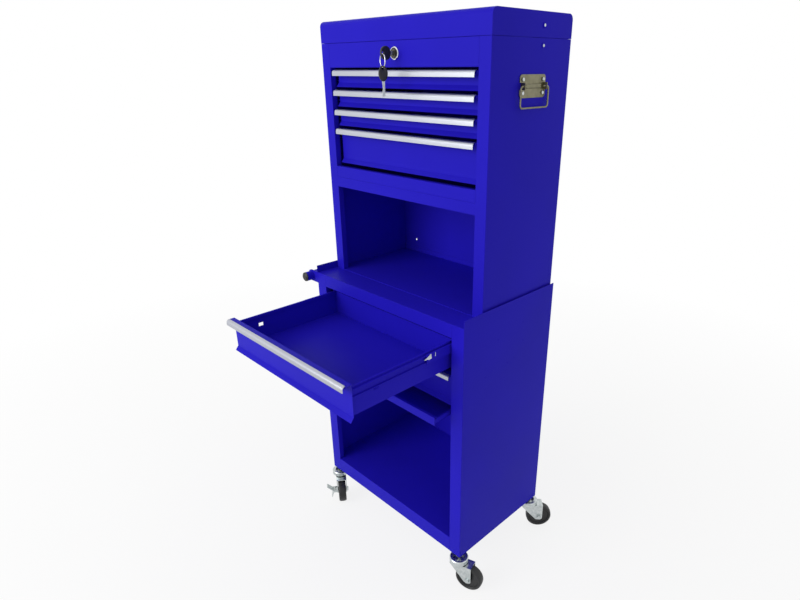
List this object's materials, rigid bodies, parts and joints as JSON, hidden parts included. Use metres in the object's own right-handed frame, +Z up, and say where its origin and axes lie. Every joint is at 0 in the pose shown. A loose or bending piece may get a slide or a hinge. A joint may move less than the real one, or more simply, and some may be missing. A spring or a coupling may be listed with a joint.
{
  "type": "rolling tool cabinet",
  "caption": "Blue steel tool cabinet on swivel casters: drawer chest with a hinged lid over an open box and a cabinet with deep drawers, a tray and a push bar",
  "frame": {"origin": "on the floor, in the middle of the width and length that the cabinet takes up at rest, with one lower drawer open", "axes": "+Z up, +Y to the back of the cabinet, +X to its right side seen from the front with the push bar at -X"},
  "size_m": [0.5164, 0.5472, 1.1065],
  "materials": {
    "blue_shell": "semi-gloss deep blue powder coat",
    "bright_metal": "zinc plated steel",
    "satin_aluminium": "satin anodised extrusion",
    "black_plastic": "matt moulded plastic",
    "polished_lock": "bright chrome"
  },
  "bodies": {
    "cabinet": {"lower_side_right": "blue_shell", "lower_side_left": "blue_shell", "lower_back_panel": "blue_shell", "lower_floor_panel": "blue_shell", "lower_top_panel": "blue_shell", "caster_plates": "bright_metal", "caster_stems": "bright_metal", "lower_slide_rails": "blue_shell", "tray_rails": "blue_shell", "push_bar_tube": "blue_shell", "push_bar_brackets": "blue_shell", "push_bar_plugs": "black_plastic", "middle_floor": "blue_shell", "middle_wrap": "blue_shell", "chest_floor": "blue_shell", "chest_wrap": "blue_shell", "chest_front_panel": "blue_shell", "till_floor": "blue_shell", "chest_rails": "blue_shell", "handle_plates": "bright_metal", "lock_housing": "polished_lock", "hinge_chest_leaf": "blue_shell"},
    "lid": {"lid": "blue_shell", "lock_strike": "blue_shell", "hinge_lid_leaf": "blue_shell"},
    "stay_lower_right": {"stay_lower_right": "bright_metal"},
    "stay_upper_right": {"stay_upper_right": "bright_metal"},
    "stay_lower_left": {"stay_lower_left": "bright_metal"},
    "stay_upper_left": {"stay_upper_left": "bright_metal"},
    "drawer_1": {"drawer_1_box": "blue_shell", "drawer_1_pull": "satin_aluminium"},
    "drawer_2": {"drawer_2_box": "blue_shell", "drawer_2_pull": "satin_aluminium"},
    "drawer_3": {"drawer_3_box": "blue_shell", "drawer_3_pull": "satin_aluminium"},
    "drawer_4": {"drawer_4_box": "blue_shell", "drawer_4_pull": "satin_aluminium"},
    "drawer_5": {"drawer_5_box": "blue_shell", "drawer_5_pull": "satin_aluminium"},
    "drawer_6": {"drawer_6_box": "blue_shell", "drawer_6_pull": "satin_aluminium"},
    "drawer_5_slides": {"drawer_5_slides": "blue_shell"},
    "drawer_6_slides": {"drawer_6_slides": "blue_shell"},
    "tray": {"pull_out_tray": "blue_shell"},
    "bail_right": {"bail_right": "bright_metal"},
    "bail_left": {"bail_left": "bright_metal"},
    "lock_plug": {"lock_plug": "polished_lock", "key_in_lock": "black_plastic"},
    "key_ring": {"key_ring": "polished_lock"},
    "fork_front_right": {"caster_fork_front_right": "bright_metal"},
    "wheel_front_right": {"caster_wheel_front_right": "black_plastic"},
    "fork_back_right": {"caster_fork_back_right": "bright_metal"},
    "wheel_back_right": {"caster_wheel_back_right": "black_plastic"},
    "fork_front_left": {"caster_fork_front_left": "bright_metal"},
    "wheel_front_left": {"caster_wheel_front_left": "black_plastic"},
    "pedal_front_left": {"brake_pedal_front_left": "bright_metal"},
    "fork_back_left": {"caster_fork_back_left": "bright_metal"},
    "wheel_back_left": {"caster_wheel_back_left": "black_plastic"},
    "pedal_back_left": {"brake_pedal_back_left": "bright_metal"}
  },
  "joints": [
    {"name": "lid_hinge", "type": "hinge", "parent": "cabinet", "child": "lid", "pos_m": [-0.00418, 0.2323, 1.06825], "axis": [-1, 0, 0], "range_deg": [0, 95]},
    {"name": "stay_lower_right_turn", "type": "hinge", "parent": "cabinet", "child": "stay_lower_right", "pos_m": [-0.00418, 0.1484, 1.057], "axis": [-1, 0, 0], "range_deg": [0, 114.33]},
    {"name": "stay_upper_right_turn", "type": "hinge", "parent": "lid", "child": "stay_upper_right", "pos_m": [-0.00418, 0.1484, 1.0865], "axis": [1, 0, 0], "range_deg": [0, 110.21]},
    {"name": "stay_lower_left_turn", "type": "hinge", "parent": "cabinet", "child": "stay_lower_left", "pos_m": [-0.00418, 0.1484, 1.057], "axis": [-1, 0, 0], "range_deg": [0, 114.33]},
    {"name": "stay_upper_left_turn", "type": "hinge", "parent": "lid", "child": "stay_upper_left", "pos_m": [-0.00418, 0.1484, 1.0865], "axis": [1, 0, 0], "range_deg": [0, 110.21]},
    {"name": "drawer_1_slide", "type": "slide", "parent": "cabinet", "child": "drawer_1", "axis": [0, -1, 0], "range_m": [0, 0.165]},
    {"name": "drawer_2_slide", "type": "slide", "parent": "cabinet", "child": "drawer_2", "axis": [0, -1, 0], "range_m": [0, 0.165]},
    {"name": "drawer_3_slide", "type": "slide", "parent": "cabinet", "child": "drawer_3", "axis": [0, -1, 0], "range_m": [0, 0.165]},
    {"name": "drawer_4_slide", "type": "slide", "parent": "cabinet", "child": "drawer_4", "axis": [0, -1, 0], "range_m": [0, 0.165]},
    {"name": "drawer_5_slide", "type": "slide", "parent": "cabinet", "child": "drawer_5", "axis": [0, -1, 0], "range_m": [-0.236, 0]},
    {"name": "drawer_6_slide", "type": "slide", "parent": "cabinet", "child": "drawer_6", "axis": [0, -1, 0], "range_m": [0, 0.236]},
    {"name": "drawer_5_slides_slide", "type": "slide", "parent": "cabinet", "child": "drawer_5_slides", "axis": [0, -1, 0], "range_m": [-0.118, 0]},
    {"name": "drawer_6_slides_slide", "type": "slide", "parent": "cabinet", "child": "drawer_6_slides", "axis": [0, -1, 0], "range_m": [0, 0.118]},
    {"name": "tray_slide", "type": "slide", "parent": "cabinet", "child": "tray", "axis": [0, -1, 0], "range_m": [-0.04, 0.15]},
    {"name": "bail_right_swing", "type": "hinge", "parent": "cabinet", "child": "bail_right", "pos_m": [0.21602, 0.0894, 0.99675], "axis": [0, -1, 0], "range_deg": [0, 95]},
    {"name": "bail_left_swing", "type": "hinge", "parent": "cabinet", "child": "bail_left", "pos_m": [-0.22438, 0.0894, 0.99675], "axis": [0, 1, 0], "range_deg": [0, 95]},
    {"name": "lock_turn", "type": "hinge", "parent": "cabinet", "child": "lock_plug", "pos_m": [-0.00418, 0.0174, 1.048], "axis": [0, 1, 0], "range_deg": [0, 90]},
    {"name": "key_ring_swing", "type": "hinge", "parent": "lock_plug", "child": "key_ring", "pos_m": [-0.00418, -0.0112, 1.0468], "axis": [0.9563, -0.2924, 0], "range_deg": [-12, 12]},
    {"name": "swivel_front_right", "type": "hinge", "parent": "cabinet", "child": "fork_front_right", "pos_m": [0.20332, -0.0251, 0.06], "axis": [0, 0, 1], "continuous": true},
    {"name": "roll_front_right", "type": "hinge", "parent": "fork_front_right", "child": "wheel_front_right", "pos_m": [0.2277, -0.01764, 0.03], "axis": [-0.2924, 0.9563, 0], "continuous": true},
    {"name": "swivel_back_right", "type": "hinge", "parent": "cabinet", "child": "fork_back_right", "pos_m": [0.20332, 0.2239, 0.06], "axis": [0, 0, 1], "continuous": true},
    {"name": "roll_back_right", "type": "hinge", "parent": "fork_back_right", "child": "wheel_back_right", "pos_m": [0.22135, 0.24193, 0.03], "axis": [-0.7071, 0.7071, 0], "continuous": true},
    {"name": "swivel_front_left", "type": "hinge", "parent": "cabinet", "child": "fork_front_left", "pos_m": [-0.21168, -0.0251, 0.06], "axis": [0, 0, 1], "continuous": true},
    {"name": "roll_front_left", "type": "hinge", "parent": "fork_front_left", "child": "wheel_front_left", "pos_m": [-0.19054, -0.03936, 0.03], "axis": [0.5592, 0.829, 0], "continuous": true},
    {"name": "pedal_front_left_rock", "type": "hinge", "parent": "fork_front_left", "child": "pedal_front_left", "pos_m": [-0.2015, -0.05561, 0.032], "axis": [0.829, -0.5592, 0], "range_deg": [-12, 12]},
    {"name": "swivel_back_left", "type": "hinge", "parent": "cabinet", "child": "fork_back_left", "pos_m": [-0.21168, 0.2239, 0.06], "axis": [0, 0, 1], "continuous": true},
    {"name": "roll_back_left", "type": "hinge", "parent": "fork_back_left", "child": "wheel_back_left", "pos_m": [-0.23122, 0.24029, 0.03], "axis": [-0.6428, -0.766, 0], "continuous": true},
    {"name": "pedal_back_left_rock", "type": "hinge", "parent": "fork_back_left", "child": "pedal_back_left", "pos_m": [-0.21862, 0.25531, 0.032], "axis": [-0.766, 0.6428, 0], "range_deg": [-12, 12]}
  ],
  "couplings": [
    {"joint": "stay_lower_right_turn", "follows": "lid_hinge", "ratio": 1.2029},
    {"joint": "stay_upper_right_turn", "follows": "lid_hinge", "ratio": 1.1596},
    {"joint": "stay_lower_left_turn", "follows": "lid_hinge", "ratio": 1.2029},
    {"joint": "stay_upper_left_turn", "follows": "lid_hinge", "ratio": 1.1596},
    {"joint": "drawer_5_slides_slide", "follows": "drawer_5_slide", "ratio": 0.5},
    {"joint": "drawer_6_slides_slide", "follows": "drawer_6_slide", "ratio": 0.5}
  ]
}
